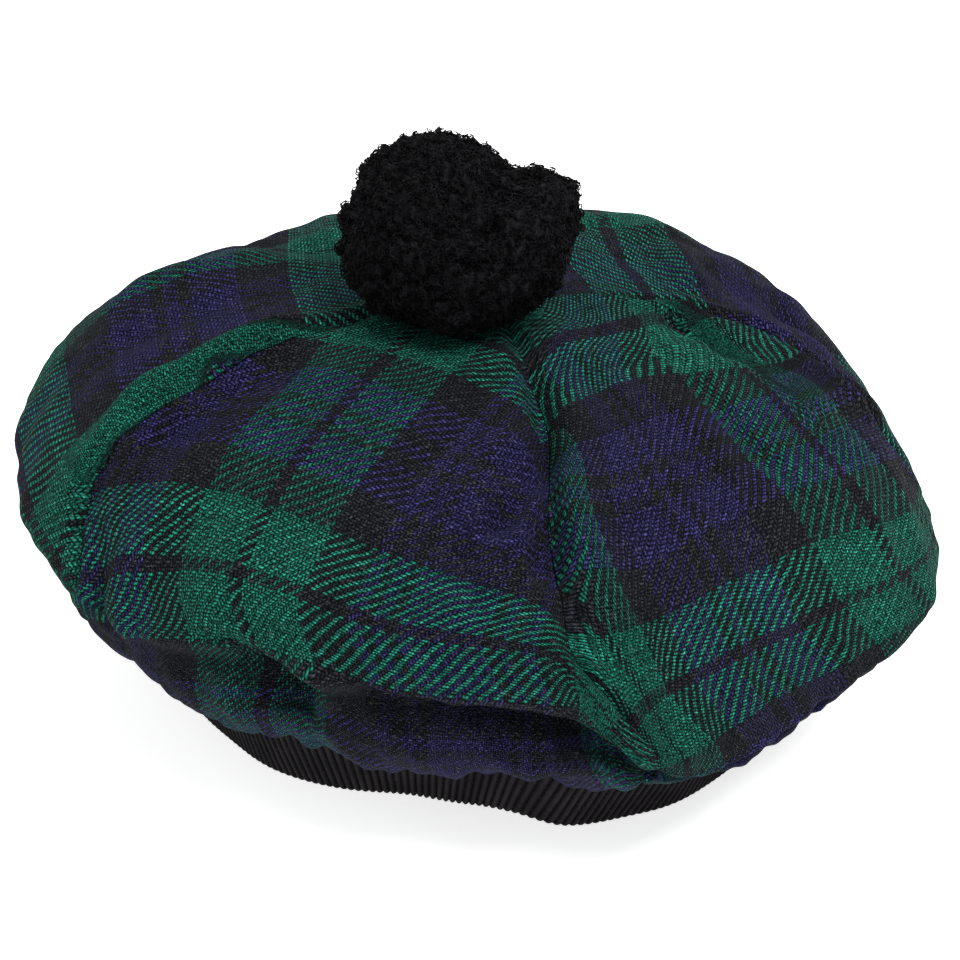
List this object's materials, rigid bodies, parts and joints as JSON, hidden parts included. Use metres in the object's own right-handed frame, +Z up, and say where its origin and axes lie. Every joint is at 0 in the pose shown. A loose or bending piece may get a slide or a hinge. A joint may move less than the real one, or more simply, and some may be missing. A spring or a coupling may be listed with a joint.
{
  "type": "tam o shanter",
  "caption": "Round soft bonnet of dark checked wool twill in quarter panels, gathered into a ribbed knitted headband, with a yarn pompom on the crown.",
  "frame": {"origin": "middle of the whole bonnet's box, on the surface that the headband stands on", "axes": "+Z up through the crown, -Y towards the front of the bonnet, +X towards its right as seen from the front"},
  "size_m": [0.277, 0.267, 0.1702],
  "materials": {
    "check_cloth": "matt wool twill in a dark green, navy and black check",
    "knit_band": "matt black fine rib knit",
    "pompom_yarn": "matt black cut wool yarn"
  },
  "bodies": {
    "root": {"crown_panel_front_right": "check_cloth", "crown_panel_back_right": "check_cloth", "crown_panel_back_left": "check_cloth", "crown_panel_front_left": "check_cloth", "headband": "knit_band", "pompom": "pompom_yarn"}
  },
  "joints": []
}
